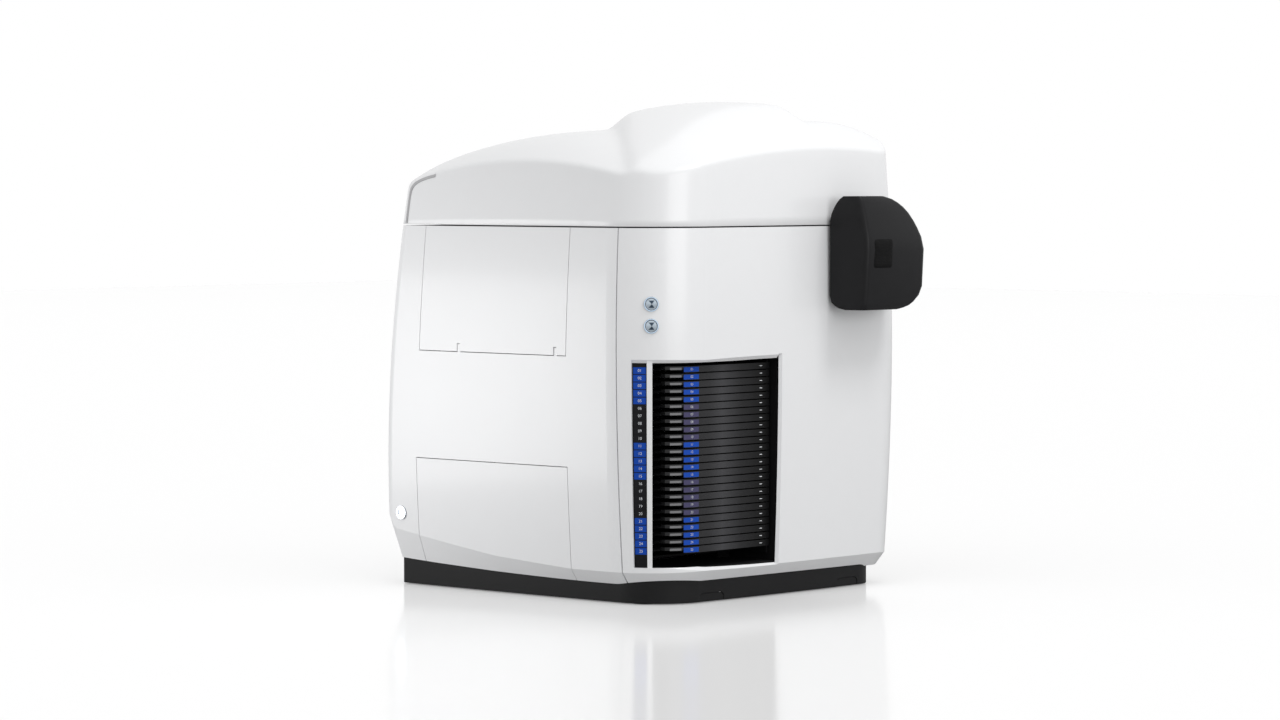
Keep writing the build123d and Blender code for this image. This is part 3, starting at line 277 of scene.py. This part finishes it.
label_degrees = np.linspace(71.5, 89.3, 8)
grip_degrees = np.linspace(57.5, 69.0, 6)
number_way = away(80.5)
number_reach = 0.0826
mark_left, mark_right = -0.040, -0.035
for tray in range(tray_count):
    body = f"tray_{tray + 1:02d}"
    give(tray_black, body)
    z = tray_top + 0.0026 - tray_pitch * tray
    look = label_violet if tray // block_size % 2 else label_blue
    corner_plate(f"tray_label_{tray + 1:02d}", 0.08195, 0.0824, label_degrees, z - 0.0033, z + 0.0030, look, body)
    corner_plate(f"tray_grip_{tray + 1:02d}", 0.0817, 0.0826, grip_degrees, z - 0.0004, z + 0.0026, grip_grey,
                 body)
    numeral(f"tray_number_{tray + 1:02d}", tray + 1, Vector((*corner_axis, z)) + number_way * number_reach,
            number_way, 0.0048, body)
    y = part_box(body)[0].y - print_lift
    mark = np.array([[(x, y, edge) for x in (mark_left, mark_right)] for edge in (z - 0.0003, z + 0.0005)])
    grid_piece(f"tray_mark_{tray + 1:02d}", mark, print_white, body, ends="open", wrap=False, smooth=False)

# ---- Housing panels, service door and cover ----
# White mouldings with a smooth satin finish. The door hangs on two steel pins at its lower edge.
housing_white = finish("housing_white", (0.80, 0.805, 0.815), 0.34, spread=0.008, bump=0.02, coat=0.25)
give(housing_white, "left_panel", "front_cover", "right_panel", "rear_panel", "hood", "upper_door", "lower_cover")
give(steel, "hinge_pins")


# ---- Push buttons and power switch ----
# Two turned metal buttons sit in the front cover. Each has a slightly domed face, with a painted reflection of the
# room on it as a dark hourglass, and a pale lit ring of plastic round it. The power switch low on the left is metal
# too.
def painted_reflection_metal():
    """Pale metal with a painted reflection: two dark cones that meet at the middle of the face, inside a cone where
    the distance across is under 0.8 of the distance up or down."""
    cone_slope, cone_reach = 0.8, 0.34
    look = finish("button_face_painted_reflection", (0.5, 0.56, 0.62), 0.2, metal=0.6, spread=0.04, bump=0.03)
    tree = look.node_tree
    where = tree.nodes.new("ShaderNodeTexCoord")
    split = tree.nodes.new("ShaderNodeSeparateXYZ")
    tree.links.new(where.outputs["Generated"], split.inputs[0])

    def work_out(kind, *values):
        node = tree.nodes.new("ShaderNodeMath")
        node.operation = kind
        for socket, value in zip(node.inputs, values):
            if isinstance(value, float):
                socket.default_value = value
            else:
                tree.links.new(value, socket)
        return node.outputs[0]

    across = work_out("ABSOLUTE", work_out("SUBTRACT", split.outputs["X"], 0.5))
    upward = work_out("ABSOLUTE", work_out("SUBTRACT", split.outputs["Z"], 0.5))
    cone = work_out("SUBTRACT", work_out("MULTIPLY", upward, cone_slope), across)
    limit = work_out("SUBTRACT", cone_reach, work_out("MAXIMUM", upward, across))
    edge = tree.nodes.new("ShaderNodeMapRange")
    edge.inputs["From Min"].default_value = -0.05
    edge.inputs["From Max"].default_value = 0.03
    tree.links.new(work_out("MINIMUM", cone, limit), edge.inputs["Value"])
    # Painted reflection: dark inside the cones, pale metal outside them.
    mix = tree.nodes.new("ShaderNodeMixRGB")
    mix.inputs[1].default_value = (0.52, 0.60, 0.67, 1)
    mix.inputs[2].default_value = (0.035, 0.06, 0.09, 1)
    tree.links.new(edge.outputs["Result"], mix.inputs[0])
    tree.links.new(mix.outputs[0], tree.nodes["Principled BSDF"].inputs["Base Color"])
    return look


give(finish("bezel_metal", (0.62, 0.66, 0.70), 0.22, metal=0.9, spread=0.05, bump=0.04), "button_bezels")
button_metal = finish("button_metal", (0.55, 0.6, 0.66), 0.18, metal=1.0, spread=0.05, bump=0.04)
give(button_metal, "start_button", "open_button", "power_switch")
face_painted_reflection = painted_reflection_metal()
ring_light = finish("button_ring", (0.50, 0.62, 0.74), 0.3, spread=0.03, bump=0.02)
ring_shader = ring_light.node_tree.nodes["Principled BSDF"]
ring_shader.inputs["Emission Color"].default_value = (0.5, 0.7, 0.95, 1)
ring_shader.inputs["Emission Strength"].default_value = 0.12

button_degrees = 40.6
button_heights = {"start_button": 0.400, "open_button": 0.371}
face_radius, face_lift, face_dome = 0.0070, 0.0006, 0.0005
ring_radius, ring_tube = 0.0091, 0.0007
for body, z in button_heights.items():
    centre, normal = (np.array(v) for v in skin_at(skin_of(nodes[body]), button_degrees, z))
    up = np.array((0, 0, 1.0))
    side = np.cross(up, normal)
    side /= np.linalg.norm(side)

    def spokes_round(count):
        """Directions round the button's axis, turning to the left seen from the front."""
        turn = np.linspace(0, 2 * np.pi, count, endpoint=False)[:, None]
        return side * np.cos(turn) + up * np.sin(turn)

    radii = face_radius * np.linspace(1, 0.125, 8)[:, None, None]
    lifts = face_lift - face_dome * (radii / face_radius) ** 2
    grid_piece(f"{body}_face", centre + normal * lifts + radii * spokes_round(48), face_painted_reflection, body, ends="last")
    tube = np.linspace(0, -2 * np.pi, 12, endpoint=False)[None, :, None]
    rim = (centre + spokes_round(64)[:, None] * (ring_radius + ring_tube * np.cos(tube))
           + normal * (ring_tube * np.sin(tube) + print_lift))
    grid_piece(f"{body}_ring", rim, ring_light, "housing", ends="join")


# ---- Lamp housing ----
# One black moulding on the front, with rounded edges. Its outline from the side and from the front is given at
# a few heights; each level between is a rectangle with four round corners. A field of fine holes is on its face.
def rounded_loops(left, right, near, far, radii, heights):
    """Closed loops, one for each height, turning to the left seen from above."""
    quarter = np.radians(np.arange(0, 91, 15))
    corners = ((left, near, 1, 1, np.pi), (right, near, -1, 1, 1.5 * np.pi), (right, far, -1, -1, 0),
               (left, far, 1, -1, 0.5 * np.pi))
    arcs = [np.stack(np.broadcast_arrays((x + x_way * radius)[:, None] + radius * np.cos(start + quarter),
                                         (y + y_way * radius)[:, None] + radius * np.sin(start + quarter),
                                         heights[:, None]), axis=-1)
            for (x, y, x_way, y_way, start), radius in zip(corners, radii)]
    return np.concatenate(arcs, axis=1)


lamp_black = finish("lamp_black", (0.013, 0.013, 0.014), 0.36, spread=0.12, bump=0.18, specular=0.12)
give(lamp_black, "lamp_housing")
lamp_levels = np.array((386, 386.6, 388, 391, 396, 405, 417, 440, 468, 485, 497, 507, 518, 526, 532, 537, 540,
                        541)) / 1000
right_side = ((.386, .164), (.388, .176), (.391, .186), (.396, .196), (.405, .2065), (.417, .212), (.468, .2115),
              (.485, .2065), (.497, .201), (.507, .195), (.518, .187), (.526, .178), (.532, .169), (.537, .158),
              (.541, .142))
back_side = ((.386, -.2560), (.388, -.245), (.391, -.238), (.396, -.232), (.405, -.2292), (.507, -.2292),
             (.518, -.2325), (.526, -.2370), (.532, -.2415), (.537, -.2465), (.541, -.2530))
front_side = ((.386, -.2900), (.391, -.2925), (.417, -.2950), (.440, -.2965), (.468, -.2983), (.485, -.2978),
              (.507, -.2935), (.526, -.2888), (.537, -.2850), (.541, -.2825))
lamp_right, lamp_back, lamp_front = (np.interp(lamp_levels, *np.array(side).T)
                                     for side in (right_side, back_side, front_side))
lamp_left = np.full(len(lamp_levels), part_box("lamp_housing")[0].x + 0.0002)
lamp_shell = grid_piece("lamp_shell", rounded_loops(lamp_left, lamp_right, lamp_front, lamp_back,
                                                    (0.007, 0.012, 0.006, 0.004), lamp_levels),
                        lamp_black, "housing")
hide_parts("lamp_housing")

# The field of holes is darker than the housing: painted shade in the holes, which are only a bump.
vent_painted_shade = finish("lamp_perforated_painted_shade", (0.003, 0.003, 0.0032), 0.6, spread=0.1, bump=0.1, specular=0.1)
hole_tree = vent_painted_shade.node_tree
holes = hole_tree.nodes.new("ShaderNodeTexVoronoi")
holes.inputs["Scale"].default_value = 520
holes.inputs["Randomness"].default_value = 0.0
hole_where = hole_tree.nodes.new("ShaderNodeTexCoord")
hole_bump = hole_tree.nodes.new("ShaderNodeBump")
hole_bump.inputs["Strength"].default_value = 0.9
hole_bump.inputs["Distance"].default_value = 0.0008
hole_tree.links.new(hole_where.outputs["Object"], holes.inputs["Vector"])
hole_tree.links.new(holes.outputs["Distance"], hole_bump.inputs["Height"])
hole_tree.links.new(hole_bump.outputs["Normal"], hole_tree.nodes["Principled BSDF"].inputs["Normal"])
field_x, field_z, field_half, field_round = 0.1165, 0.463, 0.0195, 0.004
field_loop = rounded_loops(*(np.array([side]) for side in (-field_half, field_half, -field_half, field_half)),
                           (field_round,) * 4, np.zeros(1))[0]
field_scales = np.array((1, 0.97, 0.65, 0.3))[:, None]
field_lifts = np.array((0, 0.0006, 0.0006, 0.0006))[:, None]
loop_x, loop_z = field_x + field_scales * field_loop[:, 0], field_z + field_scales * field_loop[:, 1]
loop_y = np.interp(loop_z, *np.array(front_side).T) - field_lifts
grid_piece("lamp_vent_field", np.stack([loop_x, loop_y, loop_z], axis=-1), vent_painted_shade, "housing", ends="last")


# ---- Hood ----
# One white moulding, hinged at the rear. Its walls go on from the panels; its roof is an arch with a dome, a
# valley left of the dome and a brow along the front, and a soft edge joins roof and walls.
def lower_of(a, b, blend):
    """The lower of two heights, with a rounded change over."""
    return (a + b - np.sqrt((a - b) ** 2 + blend ** 2)) / 2


def roof_height(x, y):
    """Height of the roof over points of the plan, worked out in millimetres. An arch stands between the top
    edges of the left and right walls, and the dome rises from it as far as its two flanks let it. The brow
    cuts it down along the front, and a slope along the rear."""
    x, y = x * 1000, y * 1000
    share = np.clip((x + 150) / 300, 0, 1)
    share = share * share * (3 - 2 * share)
    left_edge = 584.3 - 0.00062 * (y - 26.5) ** 2
    right_edge = 598.0 - 0.00029 * (y + 193.5) ** 2
    arch = 48.0 * (1 - np.minimum(np.abs(x) / 262, 1.1) ** np.where(x < 0, 3.6, 7.8))
    shoulder = left_edge * (1 - share) + right_edge * share + arch
    dome = (671.0 - np.where(x < 58.3, 0.00088, 0.00043) * (x - 58.3) ** 2
            - np.where(y < -51.4, 0.0005, 0.0009) * (y + 51.4) ** 2)
    valley_way = math.radians(42.4)
    left_flank = 0.9 * ((x + 235.6) * math.cos(valley_way) - (y + 143.5) * math.sin(valley_way))
    right_flank = 2.24 * (102.5 - x)
    stand = lower_of(dome - shoulder, lower_of(left_flank, right_flank, 8), 6)
    top = shoulder + np.maximum(-lower_of(-stand, 0, 5), 0)
    front_wall = -227.5 + 0.0045 * np.maximum(-x - 154, 0) ** 2
    top = lower_of(top, 606 - 0.00042 * (x - 76) ** 2 + 0.66 * (y - front_wall), 5)
    return lower_of(top, 549 + 2.5 * (260.1 - y), 14) / 1000


hood_middle = Vector((-0.004, 0.0365, 0))
hood_spokes = np.radians(np.arange(360))
hood_wall, roof_wall, rim_round = 0.004, 0.006, 0.0004
hood_low = 0.5019                             # lower edge, just over the seam
edge_round = 0.006                            # soft edge between walls and roof
same_wall = 0.0035                            # a ray that jumps further than this has met the roof


def wall_line(skin, angle):
    """Slope and start, at a height of 0.5, of the straight line that the wall follows at one angle."""
    way = Vector((math.cos(angle), math.sin(angle), 0))
    heights, reaches = [], []
    for z in (0.5205, 0.527, 0.534, 0.541, 0.552, 0.566, 0.580):
        place = skin.ray_cast(hood_middle + way * 0.5 + Vector((0, 0, z)), -way)[0]
        reach = math.dist(place[:2], hood_middle[:2]) if place else 0
        if reaches and abs(reach - reaches[-1]) >= same_wall:
            break
        heights.append(z)
        reaches.append(reach)
    return np.polyfit(np.array(heights) - 0.5, reaches, 1)


cad_hood_skin = skin_of(nodes["hood"])
wall_slope, wall_start = np.array([wall_line(cad_hood_skin, angle) for angle in hood_spokes]).T


def wall_reach(z):
    """Distance of the wall from the middle, at all angles."""
    return wall_slope * (z - 0.5) + wall_start


def hood_loop(reach, z):
    """Points at all angles, at a distance from the middle."""
    return np.stack([hood_middle.x + reach * np.cos(hood_spokes), hood_middle.y + reach * np.sin(hood_spokes), z],
                    axis=1)


def roof_over(reach):
    """Height of the roof at all angles, at a distance from the middle."""
    return roof_height(hood_middle.x + reach * np.cos(hood_spokes), hood_middle.y + reach * np.sin(hood_spokes))


edge = np.full(len(hood_spokes), 0.56)
for _ in range(12):
    edge = (edge + roof_over(wall_reach(edge))) / 2
inner_reach = wall_reach(edge) - hood_wall
inner_top = roof_over(inner_reach) - roof_wall
low = np.full(len(hood_spokes), hood_low)
hood_loops = [hood_loop(inner_reach * f, roof_over(inner_reach * f) - roof_wall) for f in np.linspace(0.04, 1, 26)]
for f in (0.25, 0.5, 0.75, 1.0):
    z = inner_top + (low + 0.0003 - inner_top) * f
    hood_loops.append(hood_loop(wall_reach(z) - hood_wall, z))
hood_loops += [hood_loop(wall_reach(low) - hood_wall + 0.0003, low), hood_loop(wall_reach(low) - rim_round, low)]
for f in np.linspace(0, 1, 9):
    z = low + rim_round + (edge - edge_round - low - rim_round) * f
    hood_loops.append(hood_loop(wall_reach(z), z))
roof_reach = wall_reach(edge) - edge_round
wall_end = hood_loop(wall_reach(edge - edge_round), edge - edge_round)
sharp_edge = hood_loop(wall_reach(edge), edge)
roof_start = hood_loop(roof_reach, roof_over(roof_reach))
hood_loops += [wall_end * (1 - t) ** 2 + 2 * sharp_edge * t * (1 - t) + roof_start * t ** 2
               for t in np.linspace(0.15, 1, 6)]
hood_loops += [hood_loop(roof_reach * f, roof_over(roof_reach * f)) for f in 1 - np.linspace(0.015, 0.99, 66)]
hood_shell = grid_piece("hood_shell", np.array(hood_loops), housing_white, "hood")
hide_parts("hood")

# ---- Hinge knuckles of the hood ----
# Four white lugs, moulded in one with the hood's rear wall, hold its hinge pins. They keep the CAD shape: its
# faces that lie behind the line of the rear wall are copied.
rear = len(hood_spokes) // 4                  # the spoke that points to the rear
behind_wall, knuckle_top = 0.0004, 0.53
cad_hood = nodes["hood"].data
knuckle_faces = [face for face in cad_hood.polygons if face.center.z < knuckle_top and face.center.y - hood_middle.y
                 > wall_slope[rear] * (face.center.z - 0.5) + wall_start[rear] + behind_wall]
corners, numbers = np.unique([tuple(face.vertices) for face in knuckle_faces], return_inverse=True)
knuckle_mesh = bpy.data.meshes.new("hood_knuckles")
knuckle_mesh.from_pydata([cad_hood.vertices[corner].co for corner in corners.tolist()], [],
                         numbers.reshape(-1, 3).tolist())
knuckle_mesh.polygons.foreach_set("use_smooth", [False] * len(knuckle_mesh.polygons))
knuckle_mesh.materials.append(housing_white)
knuckles = bpy.data.objects.new("hood_knuckles", knuckle_mesh)
bpy.context.scene.collection.objects.link(knuckles)
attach(knuckles, "hood")

# ---- Grey trim at the rear-left edge of the hood ----
# A narrow moulding pressed on the hood's corner. It climbs the corner and runs forward along the edge of the
# roof: a flat arched profile carried along a smooth curve through a few places on the left wall.
trim_grey = finish("trim_grey", (0.42, 0.42, 0.43), 0.4, spread=0.04, bump=0.1)
give(trim_grey, "hood_trim")
trim_places = np.array(((0.2495, 0.5035), (0.2480, 0.520), (0.2462, 0.536), (0.2435, 0.5480), (0.2370, 0.5565),
                        (0.2260, 0.5620), (0.2120, 0.5660), (0.1960, 0.5690)))     # Y and Z
trim_profile = ((-0.0022, 0), (-0.0019, 0.0009), (0, 0.0012), (0.0019, 0.0009), (0.0022, 0))
way_along = np.linspace(0, len(trim_places) - 1, 57)
piece_of = np.minimum(way_along.astype(int), len(trim_places) - 2)
u = (way_along - piece_of)[:, None]
p0, p1, p2, p3 = (trim_places[np.clip(piece_of + step, 0, len(trim_places) - 1)] for step in (-1, 0, 1, 2))
trim_curve = 0.5 * (2 * p1 + (p2 - p0) * u + (2 * p0 - 5 * p1 + 4 * p2 - p3) * u ** 2
                    + (3 * p1 - p0 - 3 * p2 + p3) * u ** 3)
ahead = np.gradient(trim_curve, axis=0)
across = np.stack([-ahead[:, 1], ahead[:, 0]], axis=1) / np.linalg.norm(ahead, axis=1)[:, None]
hood_skin = skin_of(hood_shell)


def left_wall_x(y, z):
    """X of the hood's left wall, or of its soft edge, over a place seen from the left."""
    place = hood_skin.ray_cast(Vector((-0.4, y, z)), Vector((1, 0, 0)))[0]
    return place.x if place else -0.25


trim_lines = []
for step, lift in trim_profile:                # across the curve, and away from the wall
    y, z = (trim_curve + across * step).T
    x = np.array([left_wall_x(*place) for place in zip(y, z)]) - lift
    trim_lines.append(np.stack([x, y, z], axis=1))
trim = grid_piece("hood_corner_trim", np.stack(trim_lines, axis=1), trim_grey, "hood", ends="open", wrap=False)
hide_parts("hood_trim")

# ---- Camera ----
# It stands where the photograph was taken from: about 5.9 m in front of the left corner, with a long lens.
camera_data = bpy.data.cameras.new("camera")
camera_data.sensor_width = 36
camera_data.lens = 119.7
camera_data.clip_end = 50
camera_down = math.radians(2.56)
camera_way = Vector((0.7385 * math.cos(camera_down), 0.6743 * math.cos(camera_down), -math.sin(camera_down)))
camera = bpy.data.objects.new("camera", camera_data)
camera.location = (-4.3869, -3.9608, 0.577)
camera.rotation_euler = camera_way.to_track_quat("-Z", "Y").to_euler()
bpy.context.scene.collection.objects.link(camera)
bpy.context.scene.camera = camera

# ---- Floor ----
# A plain white table with a weak mirror in it. Only the camera sees it so bright; the light that it throws
# back on the unit is that of a light grey.
floor_white = finish("floor_white", (0.9, 0.9, 0.9), 0.9, spread=0.004, bump=0.0, specular=0.0)
floor_tree = floor_white.node_tree
floor_base = floor_tree.nodes["Principled BSDF"]
floor_base.inputs["Emission Color"].default_value = (1, 1, 1, 1)
floor_base.inputs["Emission Strength"].default_value = 0.34
mirror = floor_tree.nodes.new("ShaderNodeBsdfGlossy")
mirror.inputs["Color"].default_value = (1, 1, 1, 1)
mirror.inputs["Roughness"].default_value = 0.12
polish = floor_tree.nodes.new("ShaderNodeMixShader")
polish.inputs[0].default_value = 0.3
floor_tree.links.new(floor_base.outputs[0], polish.inputs[1])
floor_tree.links.new(mirror.outputs[0], polish.inputs[2])
grey = floor_tree.nodes.new("ShaderNodeBsdfDiffuse")
grey.inputs["Color"].default_value = (0.6, 0.6, 0.6, 1)
floor_path = floor_tree.nodes.new("ShaderNodeLightPath")
floor_pick = floor_tree.nodes.new("ShaderNodeMixShader")
floor_tree.links.new(floor_path.outputs["Is Camera Ray"], floor_pick.inputs[0])
floor_tree.links.new(grey.outputs[0], floor_pick.inputs[1])
floor_tree.links.new(polish.outputs[0], floor_pick.inputs[2])
floor_tree.links.new(floor_pick.outputs[0], floor_tree.nodes["Material Output"].inputs["Surface"])
floor_half = 12
floor_mesh = bpy.data.meshes.new("floor")
floor_mesh.from_pydata([(x * floor_half, y * floor_half, 0) for x, y in ((-1, -1), (1, -1), (1, 1), (-1, 1))], [],
                       [(0, 1, 2, 3)])
floor_mesh.materials.append(floor_white)
floor = bpy.data.objects.new("floor", floor_mesh)
bpy.context.scene.collection.objects.link(floor)

# ---- Light ----
# A bright tent: plain white for the camera and in reflections, and stronger from above the front-left corner
# for all other light. Three soft lamps draw the walls apart; they light neither floor nor printed numbers.
world = bpy.data.worlds.new("studio")
bpy.context.scene.world = world
world.use_nodes = True
tent = world.node_tree
plain = tent.nodes["Background"]
plain.inputs["Color"].default_value = (1, 1, 1, 1)
plain.inputs["Strength"].default_value = 1.0
soft = tent.nodes.new("ShaderNodeBackground")
tent_where = tent.nodes.new("ShaderNodeTexCoord")
facing = tent.nodes.new("ShaderNodeVectorMath")
facing.operation = "DOT_PRODUCT"
facing.inputs[1].default_value = Vector((-0.42, -0.52, 0.74)).normalized()
strength = tent.nodes.new("ShaderNodeMapRange")
for socket, value in (("From Min", -1.0), ("From Max", 1.0), ("To Min", 0.05), ("To Max", 1.2)):
    strength.inputs[socket].default_value = value
path = tent.nodes.new("ShaderNodeLightPath")
seen = tent.nodes.new("ShaderNodeMath")
seen.operation = "MAXIMUM"
tent.links.new(path.outputs["Is Camera Ray"], seen.inputs[0])
tent.links.new(path.outputs["Is Glossy Ray"], seen.inputs[1])
tent_pick = tent.nodes.new("ShaderNodeMixShader")
tent.links.new(tent_where.outputs["Generated"], facing.inputs[0])
tent.links.new(facing.outputs["Value"], strength.inputs["Value"])
tent.links.new(strength.outputs["Result"], soft.inputs["Strength"])
tent.links.new(seen.outputs[0], tent_pick.inputs[0])
tent.links.new(soft.outputs[0], tent_pick.inputs[1])
tent.links.new(plain.outputs[0], tent_pick.inputs[2])
tent.links.new(tent_pick.outputs[0], tent.nodes["World Output"].inputs["Surface"])

lit = bpy.data.collections.new("lit_by_lamps")
for piece in bpy.data.objects:
    if piece.type == "MESH" and piece is not floor and "_number_" not in piece.name:
        lit.objects.link(piece)


def soft_lamp(name, place, target, size, power):
    """Rectangular lamp that lights only the pieces in its collection."""
    data = bpy.data.lights.new(name, "AREA")
    data.shape = "RECTANGLE"
    data.size, data.size_y = size
    data.energy = power
    lamp = bpy.data.objects.new(name, data)
    lamp.location = place
    lamp.rotation_euler = (Vector(target) - Vector(place)).to_track_quat("-Z", "Y").to_euler()
    lamp.light_linking.receiver_collection = lit
    bpy.context.scene.collection.objects.link(lamp)


soft_lamp("key", (0.25, -1.5, 2.3), (0.02, -0.2, 0.35), (0.7, 0.7), 18)
soft_lamp("rear_left", (-1.0, 0.8, 0.2), (-0.26, 0.2, 0.12), (0.5, 0.5), 4)
soft_lamp("fill", (-0.6, -2.5, 0.7), (-0.05, -0.2, 0.4), (1.4, 0.8), 12)
bpy.context.scene.view_settings.view_transform = "Standard"
bpy.context.scene.view_settings.look = "None"
bpy.context.scene.view_settings.exposure = 0
bpy.context.scene.view_settings.gamma = 1
